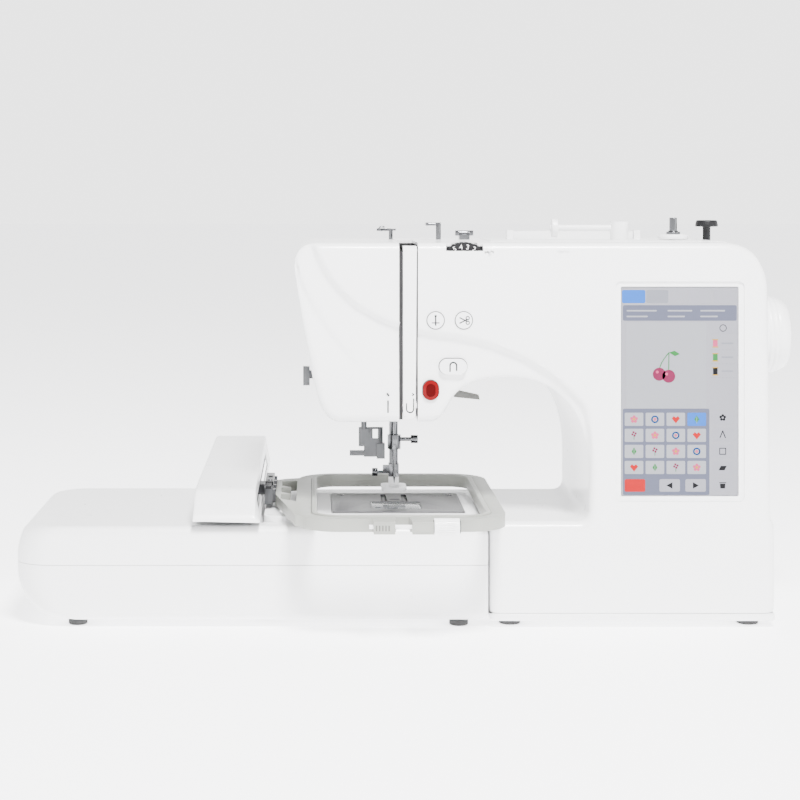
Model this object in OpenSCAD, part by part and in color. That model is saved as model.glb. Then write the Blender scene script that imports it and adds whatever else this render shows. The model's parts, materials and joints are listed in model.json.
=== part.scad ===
/* [Body] */
// Depth of the head, arm and column
body_depth = 165; // [160:1:170]
// Height of the arm's top above the table
arm_top = 282; // [280:1:284]
// Inner side of the column, from the needle axis
col_left = 139; // [137:1:141]
// Right side of the column, from the needle axis
col_right = 272; // [270:1:273]
// Underside of the head above the table
head_under = 149; // [148:0.5:150]
// Wall thickness of the covers
wall = 2.5; // [2:0.1:3]
// Depth at which the front and rear covers meet
seam_y = 85; // [80:1:90]

/* [Base and bed] */
// Left side of the base, where the embroidery unit ends
base_left = 66; // [64:1:68]
// Right side of the base
base_right = 275; // [274:0.5:276]
// Top of the bed above the table
bed_top = 77.5; // [77:0.1:77.5]
// Left end of the free arm
bed_left = -100; // [-104:1:-96]
// Height of the feet
foot_h = 5; // [4:0.5:5]

/* [Embroidery unit] */
// Left end of the embroidery unit
unit_left = -283; // [-290:1:-270]
// Depth of the embroidery unit
unit_depth = 191; // [180:1:200]
// Top of the embroidery unit above the table
unit_top = 74; // [73:0.5:75]
// Height of the parting line between its two cases
unit_split = 45.7; // [42:0.1:50]
// Depth reached by the rear of the embroidery arm
arm_rear = 323; // [310:1:330]
// Top of the embroidery arm
arm_high = 100; // [98:1:102]

/* [Hoop] */
// Half of the sewing field's width
hoop_half = 60.5; // [58:0.5:61]
// Front edge of the sewing field
hoop_front = -39; // [-41:1:-37]
// Rear edge of the sewing field
hoop_rear = 156; // [154:1:158]
// Height of the hoop frames
hoop_h = 10; // [9:0.5:10]

/* [Screen] */
// Width of the screen's visible panel
screen_w = 86.2; // [80:0.1:88]
// Height of the screen's visible panel
screen_h = 153.4; // [145:0.1:155]

/* [Controls] */
// Diameter of the round push buttons
button_d = 12.3; // [11:0.1:13]
// Diameter of the handwheel
handwheel_d = 60; // [56:1:62]
// Running clearance of shafts and pins in their bores
run = 0.05; // [0.02:0.01:0.08]

/* [Hidden] */
$fn = 48;

// Extremes of the whole machine, which set the origin at the middle of its footprint
wheel_end = 302;
hoop_nose = -67;
mid_x = (unit_left + wheel_end) / 2;
mid_y = (hoop_nose + arm_rear) / 2;

// Axes of the mechanism
shaft_y = 80;
shaft_z = 209;
low_y = 100;
low_z = 45;
needle_y = 100;
presser_y = 112;
hook_y = 78;
motor_y = 125;
motor_z = 120;
tray_top = 11;
gap = 0.3;
case_white = [0.97, 0.97, 0.97];
hoop_grey = [0.85, 0.86, 0.83];
steel = [0.75, 0.76, 0.78];
dark = [0.2, 0.18, 0.18];
// Centre and width of the thread slots and of the strip between them
slot_x = 1;
slot_w = 2.9;
strip_right = 12.6;
front_left = 13.4;
// Screen and button places on the front, as [x, z]
screen_at = [204.9, 172.8];
needle_at = [26.2, 224.9];
cutter_at = [46.8, 224.9];
reverse_at = [39.1, 191];
start_at = [22.7, 173.8];
// Bobbin winder, stopper, spool pin and dial on the top, as [x, y]
winder_at = [217, 92];
stopper_at = [243, 92];
spool_y = 92;
spool_z = 291;
dial_x = 47.5;
dial_r = 20;
dial_z = 262;
dial_window = 29.6;
// Inner end of the handwheel
wheel_start = 276;
// Presser lever's pivot and power switch's hinge, as [x, z]
lever_at = [28, 172];
switch_at = [271, 44];
// Pivots of the take-up lever and the carrying handle, as [y, z]
take_up_at = [45, 213];
handle_at = [108.5, arm_top + 3];
// Needle threader's rod, as [x, y]
threader_at = [-24, 87];
// Bearings of the main and lower shafts, and their outer radius
bearing_x = [40, 142, 254];
low_bearing_x = [30, 200];
bush_r = 9;
// Screws of the rear cover, as [x, z], and of the needle plate, as [x, y]
rear_screws = [[30, 262], [120, 262], [235, 40]];
plate_screws = [[-42, 122], [44, 122]];
// Front and rear of the cast frame's wall
frame_front = 128;
frame_rear = 136;
// Rails of the embroidery unit and rod of its arm
rail_y = [150, 172];
rail_z = 50;
arm_rod_x = -134;
arm_rod_z = 88;
// Left and right sides of the arm's cover
arm_left = -151;
arm_right = -102;
// Underside of the hoop and its clamping screw, as [y, z]
hoop_z = 79.5;
hoop_screw = [-61, hoop_z + 5];

// A cubic curve from a to d, without its last point
function curve(a, b, c, d, n = 8) = [for (i = [0:n - 1]) let (t = i / n, s = 1 - t)
    s * s * s * a + 3 * s * s * t * b + 3 * s * t * t * c + t * t * t * d];
// A rectangle with four rounded corners
function rounded(x0, y0, x1, y1, r, n = 8) = [for (c = [[x1 - r, y1 - r, 0], [x0 + r, y1 - r, 90],
    [x0 + r, y0 + r, 180], [x1 - r, y0 + r, 270]], i = [0:n])
    [c[0] + r * cos(c[2] + 90 * i / n), c[1] + r * sin(c[2] + 90 * i / n)]];

body_outline = concat(
    curve([-47, head_under + 1], [-57, 154], [-61, 168], [-64, 182]),
    curve([-64, 182], [-68, 205], [-73, 235], [-77, 262]),
    curve([-77, 262], [-78.5, 274], [-74, arm_top], [-58, arm_top]),
    curve([238, arm_top], [260, arm_top], [269, 270], [col_right - 1.5, 246]),
    [[col_right, 70], [col_left, 70]],
    curve([col_left, 112], [col_left, 155], [118, 183], [80, 183]),
    curve([80, 183], [60, 183], [46, 178], [39, 168], 6),
    curve([39, 168], [34, 160], [32, head_under], [20, head_under], 6));

module place() translate([-mid_x, -mid_y, 0]) children();
// Stands an outline drawn in x and z up, between two depths
module slab(y0, y1) translate([0, y1, 0]) rotate([90, 0, 0]) linear_extrude(y1 - y0) children();
// Stands an outline drawn in y and z up, between two widths
module slice(x0, x1) translate([x0, 0, 0]) rotate([90, 0, 90]) linear_extrude(x1 - x0) children();
module layer(z0, z1) translate([0, 0, z0]) linear_extrude(z1 - z0) children();
module box(x0, x1, y0, y1, z0, z1) translate([x0, y0, z0]) cube([x1 - x0, y1 - y0, z1 - z0]);
module rod_x(x0, x1, y, z, r) translate([x0, y, z]) rotate([0, 90, 0]) cylinder(h = x1 - x0, r = r);
module rod_y(y0, y1, x, z, r) translate([x, y0, z]) rotate([-90, 0, 0]) cylinder(h = y1 - y0, r = r);
module rod_z(z0, z1, x, y, r) translate([x, y, z0]) cylinder(h = z1 - z0, r = r);

module body2d() {
    polygon(body_outline);
    polygon(rounded(base_left, foot_h, base_right, bed_top, 5));
}
// One cover of the body between two depths, closed at its front or at its rear
module body_shell(y0, y1, front, rear) difference() {
    slab(y0, y1) body2d();
    slab(front ? y0 + wall : y0 - 1, rear ? y1 - wall : y1 + 1) offset(delta = -wall) body2d();
    box(base_left - 1, base_right + 1, y0 - 1, y1 + 1, 0, tray_top);
    // way through to the free arm
    box(base_left - 1, base_left + wall + 1, 31, 152, tray_top - 1, 71);
    head_opening();
    // slot of the presser lever
    box(18, 52, 119, 127.6, head_under - 5, 181);
}
// Open underside of the head, round the needle bar
module head_opening() box(-46, 27, 76, 124, head_under - 5, head_under + 12);
// Space that the lid takes up in the body's top
module top_zone() {
    box(70 - gap, 262 + gap, 40 - gap, 140 + gap, arm_top - wall - 0.5, arm_top + 5);
}
// Bores for the main shaft's end in the column's right side
module wheel_bore() rod_x(col_right - 10, col_right + 8, shaft_y, shaft_z, 8);
module button_holes() {
    rod_y(-1, 8, needle_at[0], needle_at[1], button_d / 2 + gap);
    rod_y(-1, 8, cutter_at[0], cutter_at[1], button_d / 2 + gap);
    slab(-1, 8) offset(r = gap) oval(reverse_at, 20.2, 11.2);
    slab(-1, 8) offset(r = gap) oval(start_at, 11.5, 14.3);
}
module oval(at, w, h) {
    r = min(w, h) / 2 - 0.01;
    polygon(rounded(at[0] - w / 2, at[1] - h / 2, at[0] + w / 2, at[1] + h / 2, r));
}
module screen2d(grow) polygon(rounded(screen_at[0] - screen_w / 2 - grow, screen_at[1] - screen_h / 2 - grow,
    screen_at[0] + screen_w / 2 + grow, screen_at[1] + screen_h / 2 + grow, max(1, grow)));

module front_cover() color(case_white) difference() {
    union() {
        body_shell(0, seam_y, true, false);
        // ribs that stiffen the front where the column meets the base
        for (x = [160, 205, 250]) box(x, x + 2, 1, 12, 60, 86);
    }
    box(-90, front_left, -1, seam_y + 1, 100, arm_top + 5);
    top_zone();
    button_holes();
    slab(-1, 10) screen2d(4 + gap);
    // recess round the tension dial and the window that shows its figures
    rod_y(3, 20, dial_x, dial_z, dial_r + 1.5);
    box(dial_x - dial_window / 2, dial_x + dial_window / 2, -1, 4, dial_z + 13.6, arm_top + 5);
    wheel_bore();
    box(262, 280, 18, 62, 30, 58);
}
module rear_cover() color(case_white) difference() {
    union() {
        body_shell(seam_y + gap, body_depth, false, true);
        // bosses for the rear screws
        for (p = rear_screws) rod_y(140, body_depth - 1, p[0], p[1], 5);
    }
    box(-90, 0, 50, body_depth + 1, 100, arm_top + 5);
    top_zone();
    for (p = rear_screws) rod_y(130, body_depth + 1, p[0], p[1], 1.6);
    wheel_bore();
    // cooling slots
    for (i = [0:5]) box(170 + 12 * i, 175 + 12 * i, body_depth - 5, body_depth + 1, 90, 125);
}
module face_cover() color(case_white) difference() {
    slab(0, body_depth) polygon(body_outline);
    slab(wall, body_depth - wall) offset(delta = -wall) polygon(body_outline);
    box(slot_x - slot_w / 2, 300, -1, body_depth + 1, 0, 300);
    head_opening();
    // slot of the needle threader
    box(-90, -40, 55, 65, 152.5, 187);
}
module thread_channel() color(case_white) {
    difference() {
        slab(1, 18) polygon(concat([[slot_x + slot_w / 2, arm_top - 3], [slot_x + slot_w / 2, 157]],
            curve([slot_x + slot_w / 2, 157], [3, 151], [12, 151], [strip_right, 157], 6),
            [[strip_right, arm_top - 3]]));
        box(slot_x, strip_right - 1.6, 3.5, 19, 160, arm_top - 6);
    }
    box(strip_right - 1.6, front_left + 4, 16, 19, 165, arm_top - 6);
}
module top_cover() color(case_white) difference() {
    union() {
        box(70, 262, 40, 140, arm_top - wall, arm_top);
        // lugs of the carrying handle
        for (x = [88.7, 188.3]) box(x, x + 5, 104, 113, arm_top - 1, arm_top + 7);
        // rim that drops into the body
        difference() {
            box(74, 236, 44, 136, arm_top - 10, arm_top - wall);
            box(76, 234, 46, 134, arm_top - 11, arm_top);
        }
    }
    // body's rounded shoulder
    slab(30, 150) difference() {
        translate([230, 240]) square([60, 60]);
        polygon(body_outline);
    }
    // handle recess, spindle slot, bores for the stopper and the spool pin's post
    box(93.7, 188.3, 103, 132, arm_top - 1.8, arm_top + 9);
    rod_x(90, 192, handle_at[0], handle_at[1], 1.5 + run);
    box(winder_at[0] - 4, winder_at[0] + 9.5, winder_at[1] - 4, winder_at[1] + 4, arm_top - 5, arm_top + 1);
    rod_z(arm_top - 5, arm_top + 1, stopper_at[0], stopper_at[1], 3 + run);
}
module bed_plan(grow = 0) polygon(rounded(bed_left - grow, 26 - grow, base_left + 8, 157 + grow, 8));
module base_cover() color(case_white) difference() {
    layer(foot_h, tray_top - gap) {
        polygon(rounded(base_left, 0, base_right, body_depth, 5));
        bed_plan();
    }
    layer(foot_h + wall, tray_top + 1) {
        offset(delta = -wall) union() {
            polygon(rounded(base_left, 0, base_right, body_depth, 5));
            bed_plan();
        }
    }
}
module bed_cover() color(case_white) difference() {
    layer(tray_top, bed_top) bed_plan();
    layer(tray_top - 1, bed_top - 3) offset(delta = -wall) bed_plan();
    box(base_left - gap, 100, 0, 200, 0, 100);
    // seat of the needle plate and the way through it
    box(-49.3, 51.3, 39.7, 131.3, bed_top - 1, bed_top + 1);
    box(-44, 46, 45, 126, 0, bed_top + 1);
}
module needle_plate() color(steel) difference() {
    layer(bed_top - 1, bed_top + 0.8) polygon(rounded(-49, 40, 51, 131, 4));
    layer(70, 80) polygon(rounded(-19.3, 54.7, 19.3, 89, 3));
    for (x = [-8, 8]) layer(70, 80) polygon(rounded(x - 2.1, 90.5, x + 2.1, 125.5, 1));
    layer(70, 80) polygon(rounded(-4.5, needle_y - 2.2, 4.5, needle_y + 2.2, 2));
    for (p = plate_screws) rod_z(70, 80, p[0], p[1], 1.7);
}
module bobbin_cover() color([0.85, 0.88, 0.9, 0.5])
    layer(bed_top - 1, bed_top + 0.7) polygon(rounded(-19, 55, 19, 88.7, 3));
module bobbin_case() color(dark) difference() {
    rod_z(52.4, 71, 0, hook_y, 15.6);
    rod_z(59.8, 72, 0, hook_y, 11.6);
}
module bobbin() color([0.85, 0.88, 0.9, 0.6]) difference() {
    union() {
        rod_z(60, 61.2, 0, hook_y, 10.5);
        rod_z(61, 70, 0, hook_y, 5);
        rod_z(69.4, 70.6, 0, hook_y, 10.5);
    }
    rod_z(58, 72, 0, hook_y, 3);
}
module hook() color(steel) difference() {
    union() {
        rod_z(50, 70, 0, hook_y, 18);
        rod_z(32, 50, 0, hook_y, 4);
        rod_z(41, 49, 0, hook_y, 16.4);
    }
    rod_z(52, 71, 0, hook_y, 16);
    // notch that leaves the hook's point
    box(4, 30, hook_y + 10, hook_y + 20, 62, 71);
}
module feed_dogs() color(steel) {
    for (x = [-8, 8]) box(x - 1.5, x + 1.5, 92, 124, 72.6, 76.9);
    box(-12, 12, 108, 124, 66, 72.6);
    box(-6, 6, 116, 124, 62, 66);
}
module bezel() color([0.94, 0.94, 0.94]) difference() {
    slab(1.2, 7) screen2d(4);
    slab(0, 3.4) screen2d(0);
    slab(0, 8) screen2d(-3);
}
module screen() color([0.75, 0.75, 0.79]) slab(1.8, 3.4) screen2d(-gap);
module inner_frame() color([0.6, 0.61, 0.63]) difference() {
    union() {
        box(20, 262, frame_front, frame_rear, 187, 240);
        box(254, 262, 60, frame_rear, 22, 240);
        box(-90, 262, frame_front, frame_rear, 22, 60);
        for (x = bearing_x) box(x, x + 8, 66, 130, 195, 223);
        for (x = low_bearing_x) box(x, x + 8, 86, 130, 31, 59);
        for (z = [170, 236]) {
            box(-12, 18, 91, frame_rear, z, z + 8);
            box(-12, 30, frame_front, frame_rear, z, z + 8);
        }
        box(20, 33, frame_front, frame_rear, 166, 190);
        box(12, 18, 38, 130, 207, 219);
        box(12, 24, frame_front, frame_rear, 200, 225);
        box(-8, 8, frame_front, frame_rear - 3, 20, 66);
    }
    for (x = bearing_x) rod_x(x - 1, x + 9, shaft_y, shaft_z, bush_r);
    for (x = low_bearing_x) rod_x(x - 1, x + 9, low_y, low_z, bush_r);
    rod_z(160, 250, 0, needle_y, 3 + run);
    rod_z(160, 250, 0, presser_y, 3.5 + run);
    rod_x(10, 20, take_up_at[0], take_up_at[1], 3 + run);
    rod_y(126, 138, lever_at[0], lever_at[1], 2 + run);
}
module bushes() color("goldenrod") {
    for (x = bearing_x) translate([x, 0, 0]) bush(shaft_y, shaft_z);
    for (x = low_bearing_x) translate([x, 0, 0]) bush(low_y, low_z);
}
module bush(y, z) difference() {
    rod_x(0, 8, y, z, bush_r);
    rod_x(-1, 9, y, z, 5 + run);
}
module main_shaft() color(steel) union() {
    rod_x(24, wheel_start, shaft_y, shaft_z, 5);
    rod_x(24, 32, shaft_y, shaft_z, 14);
    rod_x(153, 161, shaft_y, shaft_z, 16);
    rod_x(243, 251, shaft_y, shaft_z, 26);
}
module lower_shaft() color(steel) union() {
    rod_x(-12, 212, low_y, low_z, 5);
    rod_x(-8, 10, low_y, low_z, 5.3);
    rod_x(153, 161, low_y, low_z, 16);
}
module motor_pulley() color(steel) union() {
    rod_x(241, 253, motor_y, motor_z, 8);
    rod_x(174, 241, motor_y, motor_z, 2.5);
    rod_x(184, 224, motor_y, motor_z, 14);
}
module drive_motor() color([0.35, 0.35, 0.37]) difference() {
    rod_x(172, 236, motor_y, motor_z, 25);
    rod_x(173, 240, motor_y, motor_z, 2.5 + run);
    rod_x(183, 225, motor_y, motor_z, 14.5);
}
module loop2d(y0, z0, r0, y1, z1, r1) difference() {
    hull() {
        translate([y0, z0]) circle(r = r0 + 1.6, $fn = 40);
        translate([y1, z1]) circle(r = r1 + 1.6, $fn = 40);
    }
    hull() {
        translate([y0, z0]) circle(r = r0, $fn = 40);
        translate([y1, z1]) circle(r = r1, $fn = 40);
    }
}
module drive_belts() color(dark) {
    slice(154, 160) loop2d(shaft_y, shaft_z, 16.2, low_y, low_z, 16.2);
    slice(244, 250) loop2d(shaft_y, shaft_z, 26.2, motor_y, motor_z, 8.2);
}
module handwheel() color(case_white) {
    r = handwheel_d / 2;
    thick = wheel_end - wheel_start;
    translate([wheel_start, shaft_y, shaft_z]) rotate([0, 90, 0]) rotate_extrude($fn = 96)
        polygon(concat([[0, 0], [r - 3, 0]], curve([r - 3, 0], [r, 0], [r, 1], [r, 4], 4),
            curve([r, 4], [r, 20], [r - 3, 24], [r - 8, 25]), [[r - 8, 25], [12, thick], [0, thick]]));
}
module circuit_board() color([0.1, 0.4, 0.2])
    slab(14, 15.6) translate([162, 100]) square([84, 145]);
module sockets() color(dark) difference() {
    union() {
        box(262.5, base_right - wall, 20, 60, 32, 56);
        box(base_right - wall, base_right - 0.8, 22, 58, 34, 54);
    }
    // mains inlet and switch opening
    box(266, 280, 25, 39, 36, 52);
    box(264, 280, 44, 56, 37, 51);
    rod_y(41, 59, switch_at[0], switch_at[1], 1.5 + run);
}
module power_switch() color([0.1, 0.1, 0.1]) difference() {
    union() {
        box(266.5, base_right + 0.6, 44.8, 55.2, 38.5, 49.5);
        rod_y(42, 58, switch_at[0], switch_at[1], 1.5);
    }
    box(272, 280, 40, 60, 40, 41.2);
}
module feet() color([0.3, 0.3, 0.3]) {
    for (p = [[82, 18], [258, 18], [82, 146], [258, 146], [-84, 140]]) rod_z(0, foot_h, p[0], p[1], 8);
}
module screws() color(steel) {
    for (p = rear_screws) {
        rod_y(143, body_depth, p[0], p[1], 1.6);
        rod_y(body_depth, body_depth + 1.6, p[0], p[1], 3.2);
    }
    for (p = plate_screws) {
        rod_z(bed_top - 1, bed_top + 0.8, p[0], p[1], 1.7);
        rod_z(bed_top + 0.8, bed_top + 1, p[0], p[1], 3);
    }
}
module thread_guides() color(steel) {
    rod_z(arm_top, arm_top + 7, -3, 90, 1.6);
    rod_z(arm_top + 7, arm_top + 8.4, -3, 90, 4);
    rod_x(-14, -3, 90, arm_top + 7.6, 1);
    rod_z(arm_top, arm_top + 13, 34, 90, 2);
    rod_x(24, 36, 90, arm_top + 12, 1.2);
    rod_y(84, 96, 25, arm_top + 12, 1.2);
    box(50, 58, 86, 94, arm_top, arm_top + 4);
    rod_x(47, 61, 90, arm_top + 5, 2);
}
module spool_pin() color(case_white) {
    translate([175, spool_y, arm_top]) cylinder(h = spool_z - arm_top + 5, r = 7);
    rod_x(121, 175, spool_y, spool_z, 2.5);
}
module spool_cap() color([0.9, 0.9, 0.9]) difference() {
    rod_x(122, 127, spool_y, spool_z, 7);
    rod_x(110, 140, spool_y, spool_z, 2.5 + run);
}
module winder_stopper() color(dark) {
    rod_z(arm_top - wall, arm_top + 10, stopper_at[0], stopper_at[1], 3);
    translate([stopper_at[0], stopper_at[1], arm_top + 10]) cylinder(h = 5, r1 = 9, r2 = 8);
}
module winder_seat() color(case_white) difference() {
    rod_z(arm_top + 0.3, arm_top + 4, winder_at[0], winder_at[1], 11.5);
    rod_z(arm_top - 1, arm_top + 5, winder_at[0], winder_at[1], 3 + run);
}
module winder_spindle() color(steel) {
    rod_z(arm_top - 4, arm_top + 17, winder_at[0], winder_at[1], 3);
    rod_z(arm_top + 4.1, arm_top + 6, winder_at[0], winder_at[1], 5.5);
}
module carry_handle() color([0.93, 0.93, 0.93]) difference() {
    union() {
        box(94, 188, 106, 130, arm_top - 0.6, arm_top + 6);
        rod_x(90.5, 191.5, handle_at[0], handle_at[1], 1.5);
    }
    box(103, 179, 100, 123, arm_top - 3, arm_top + 8);
}
module tension_dial() color(dark) difference() {
    rod_y(4, 15, dial_x, dial_z, dial_r);
    for (i = [0:35]) translate([dial_x, 3, dial_z]) rotate([0, 10 * i, 0])
        translate([dial_r, 0, 0]) rotate([-90, 0, 0]) cylinder(h = 13, r = 0.5, $fn = 16);
}
module round_button(at) rod_y(-0.9, 6, at[0], at[1], button_d / 2);
module button_needle() color([0.95, 0.95, 0.95]) round_button(needle_at);
module button_cutter() color([0.95, 0.95, 0.95]) round_button(cutter_at);
module button_reverse() color([0.95, 0.95, 0.95]) slab(-0.9, 6) oval(reverse_at, 20.2, 11.2);
module button_start() color([0.8, 0.05, 0.08]) slab(-1.2, 6) oval(start_at, 11.5, 14.3);

// Needle side
module needle_bar() color(steel) rod_z(124, 262, 0, needle_y, 3);
module needle_clamp() color(dark) difference() {
    union() {
        rod_z(118, 129, 0, needle_y, 5.2);
        rod_x(4, 13, needle_y, 125.5, 1.5);
        rod_x(13, 18.5, needle_y, 125.5, 3.2);
    }
    rod_z(124, 130, 0, needle_y, 3 + run);
    rod_z(117, 125, 0, needle_y, 1);
}
module needle() color(steel) {
    rod_z(96, 124, 0, needle_y, 1);
    translate([0, needle_y, 91]) cylinder(h = 5, r1 = 0.2, r2 = 1);
}
module presser_bar() color(steel) difference() {
    union() {
        rod_z(95, 255, 0, presser_y, 3.5);
        box(-4, 4, 107, 117, 95, 105);
        box(-8.5, -4, 110, 114, 97.3, 103.5);
    }
    rod_x(-10, 2, presser_y, 98, 1.2);
}
module foot_screw() color(dark) union() {
    rod_x(-12.5, 1.9, presser_y, 98, 1.15);
    rod_x(-17, -12.5, presser_y, 98, 3.2);
}
module presser_foot() color([0.95, 0.95, 0.95]) difference() {
    union() {
        layer(86, 88.6) polygon(rounded(-10, 89, 9.5, 118, 4));
        box(-4, 4, 108, 116, 88, 95);
    }
    layer(85, 90) polygon(rounded(-4, needle_y - 4, 4, needle_y + 4, 3));
}
module presser_lever() color([0.6, 0.6, 0.57]) union() {
    rod_y(120, 135, lever_at[0], lever_at[1], 2);
    rod_y(121, 125, lever_at[0], lever_at[1], 5);
    slab(121, 125) polygon([[29, 176.5], [50, 162], [68, 158], [69, 154], [49, 156], [26, 168]]);
}
module threader() color(steel) difference() {
    union() {
        rod_z(135, 235, threader_at[0], threader_at[1], 2.2);
        box(-28.1, -9.3, 86, 88, 121.6, 136.5);
        box(-14, -7.8, 84, 92, 112.2, 124);
        box(-35, -23, 85, 89, 114.5, 118.4);
        box(-24, -14, 86, 88, 113.5, 122);
        box(-26, -22, 58, 87, 177, 183);
        box(-66, -22, 57, 62, 177, 183);
        box(-71, -66, 56, 64, 171.8, 186);
    }
    box(-17.2, -13.2, 80, 90, 127.8, 134.9);
}
module take_up_lever() color(steel) union() {
    rod_x(0.2, 17.9, take_up_at[0], take_up_at[1], 3);
    slice(0.2, 1.8) polygon([[50, 208], [50, 218], [8, 234], [5, 231], [10, 226], [40, 209]]);
}

// Embroidery unit
// Unit's plan, with the bay that the free arm stands in
module unit_plan(inset) offset(delta = -inset) polygon(concat(
    curve([unit_left + 4, unit_depth - 30], [unit_left + 6, unit_depth], [unit_left + 20, unit_depth],
        [unit_left + 34, unit_depth]),
    [[bed_left - 1.5, unit_depth], [bed_left - 1.5, 25], [base_left - 1, 25], [base_left - 1, 0]],
    curve([unit_left + 26, 0], [unit_left + 8, 0], [unit_left, 6], [unit_left, 26]),
    [[unit_left, 26], [unit_left, 60]]));
// Unit's outline from the front, with its heavily rounded lower left corner
module unit_front2d(inset) offset(delta = -inset) polygon(concat(
    curve([unit_left + 32, foot_h], [unit_left + 8, foot_h + 2], [unit_left, foot_h + 16], [unit_left, 44]),
    curve([unit_left, 44], [unit_left + 2, 62], [unit_left + 8, unit_top], [unit_left + 20, unit_top]),
    [[base_left - 1, unit_top], [base_left - 1, foot_h]]));
module unit_solid(inset) intersection() {
    layer(0, 90) unit_plan(inset);
    slab(-1, unit_depth + 1) unit_front2d(inset);
}
module unit_lower() color(case_white) {
    difference() {
        unit_solid(0);
        unit_solid(wall);
        box(-300, 80, -1, 200, unit_split, 90);
        box(-222, -108, unit_depth - 5, unit_depth + 1, 40, 90);
    }
    for (p = [[-237, 16], [-237, 172], [-112, 172], [44, 13]]) rod_z(0, foot_h + 1, p[0], p[1], 7);
}
module unit_upper() color(case_white) difference() {
    unit_solid(0);
    unit_solid(wall);
    box(-300, 80, -1, 200, 0, unit_split + gap);
    // slot behind, where the arm's frame comes out
    box(-222, -108, unit_depth - 5, unit_depth + 1, 40, 60);
}
module x_rails() color(steel) {
    for (y = rail_y) rod_x(-258, -105, y, rail_z, 3);
    for (x = [-258, -107]) box(x, x + 2, 144, 178, foot_h + wall + 1.5, 58);
}
module stepper_motor() color(dark) {
    box(-255, -213, 60, 102, 14, 56);
    rod_z(56, 62, -234, 81, 2.5);
}
module arm_profile(inset) offset(delta = -inset) polygon(concat([[-5, 78.6], [12, 95]],
    curve([12, 95], [15, 98.5], [18, arm_high - 0.5], [30, arm_high]),
    [[arm_rear - 8, arm_high + 1]], curve([arm_rear - 8, arm_high + 1], [arm_rear - 3, arm_high + 1],
    [arm_rear, 98], [arm_rear, 92]), [[arm_rear, 78.6]]));
module arm_solid(inset) intersection() {
    slice(arm_left + inset, arm_right - inset) arm_profile(inset);
    slab(-20, arm_rear + 5) offset(delta = -inset) polygon([[arm_left, 70], [arm_left, 94],
        [arm_left + 4, 103], [arm_right - 6, 103], [arm_right - 3.5, 94], [arm_right, 70]]);
}
module arm_cover() color(case_white) difference() {
    arm_solid(0);
    arm_solid(wall);
    box(arm_left + 4, arm_right - 4, 0, arm_rear - 5, 70, 82);
    // slot along the right side, where the hoop carriage comes out
    box(-112, -90, 14, 262, 83, 93);
}
module arm_frame() color([0.4, 0.4, 0.42]) {
    difference() {
        union() {
            box(arm_left + 4.5, arm_right - 4.5, 5, arm_rear - 6, 79.2, 81.6);
            box(-144, -118, 194, 202, 48, 81.6);
            box(-171, -118, 194, 202, 45, 55);
            box(-171, -155, 140, 202, 45, 55);
        }
        for (y = rail_y) rod_x(-175, -150, y, rail_z, 3 + run);
    }
    rod_y(15, arm_rear - 8, arm_rod_x, arm_rod_z, 3);
    for (y = [15, arm_rear - 11]) box(-138, -130, y, y + 3, 81, 92);
}
module clip_carriage() color([0.62, 0.63, 0.6]) difference() {
    union() {
        box(-140, -120, 84, 110, 83, 93);
        box(-121, -99, 88, 106, 84, 92);
        box(-100.5, -94, 58, 136, 81, 94);
        for (y = [62, 84, 106, 128]) box(-94.5, -92, y, y + 5, 82, 92);
    }
    rod_y(80, 114, arm_rod_x, arm_rod_z, 3 + run);
}
module clip_lever() color(dark) union() {
    rod_z(94.2, 97, -97, 70, 3);
    box(-99, -95, 48, 70, 94.4, 96.4);
}
module ring_plan(x0, y0, x1, y1, r, t) difference() {
    polygon(rounded(x0 - t, y0 - t, x1 + t, y1 + t, r + t));
    polygon(rounded(x0, y0, x1, y1, r));
}
module hoop_inner() color(hoop_grey) layer(hoop_z, hoop_z + hoop_h)
    ring_plan(-hoop_half, hoop_front, hoop_half, hoop_rear, 16, 4);
module hoop_outer() color(hoop_grey) difference() {
    union() {
        layer(hoop_z, hoop_z + hoop_h - 1)
            ring_plan(-hoop_half - 4.3, hoop_front - 4.3, hoop_half + 4.3, hoop_rear + 4.3, 20.3, 10);
        // arm that reaches back to the carriage's clip
        layer(hoop_z + 1, hoop_z + hoop_h - 1) difference() {
            polygon([[-92, 60], [-92, 134], [-86, 140], [-70, 146], [-70, -38], [-76, -34]]);
            for (y = [40, 72, 104]) polygon([[-88, y], [-88, y + 22], [-76, y + 24], [-76, y - 14]]);
        }
        // clamping ears in front of the front bar
        for (x = [-21, 6]) box(x, x + 15, hoop_nose + 1, -50, hoop_z + 0.5, hoop_z + hoop_h - 1);
    }
    box(-5, 5, -54, -42, 70, 95);
    rod_x(-24, 24, hoop_screw[0], hoop_screw[1], 1.5 + run);
}
module hoop_knob() color([0.95, 0.95, 0.95]) union() {
    rod_x(-24, 22, hoop_screw[0], hoop_screw[1], 1.5);
    difference() {
        rod_x(21.4, 39, hoop_screw[0], hoop_screw[1], 6);
        for (i = [0:23]) translate([24, hoop_screw[0], hoop_screw[1]]) rotate([15 * i, 0, 0])
            translate([0, 0, 6]) rotate([0, 90, 0]) cylinder(h = 12, r = 0.4, $fn = 16);
    }
}

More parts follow.
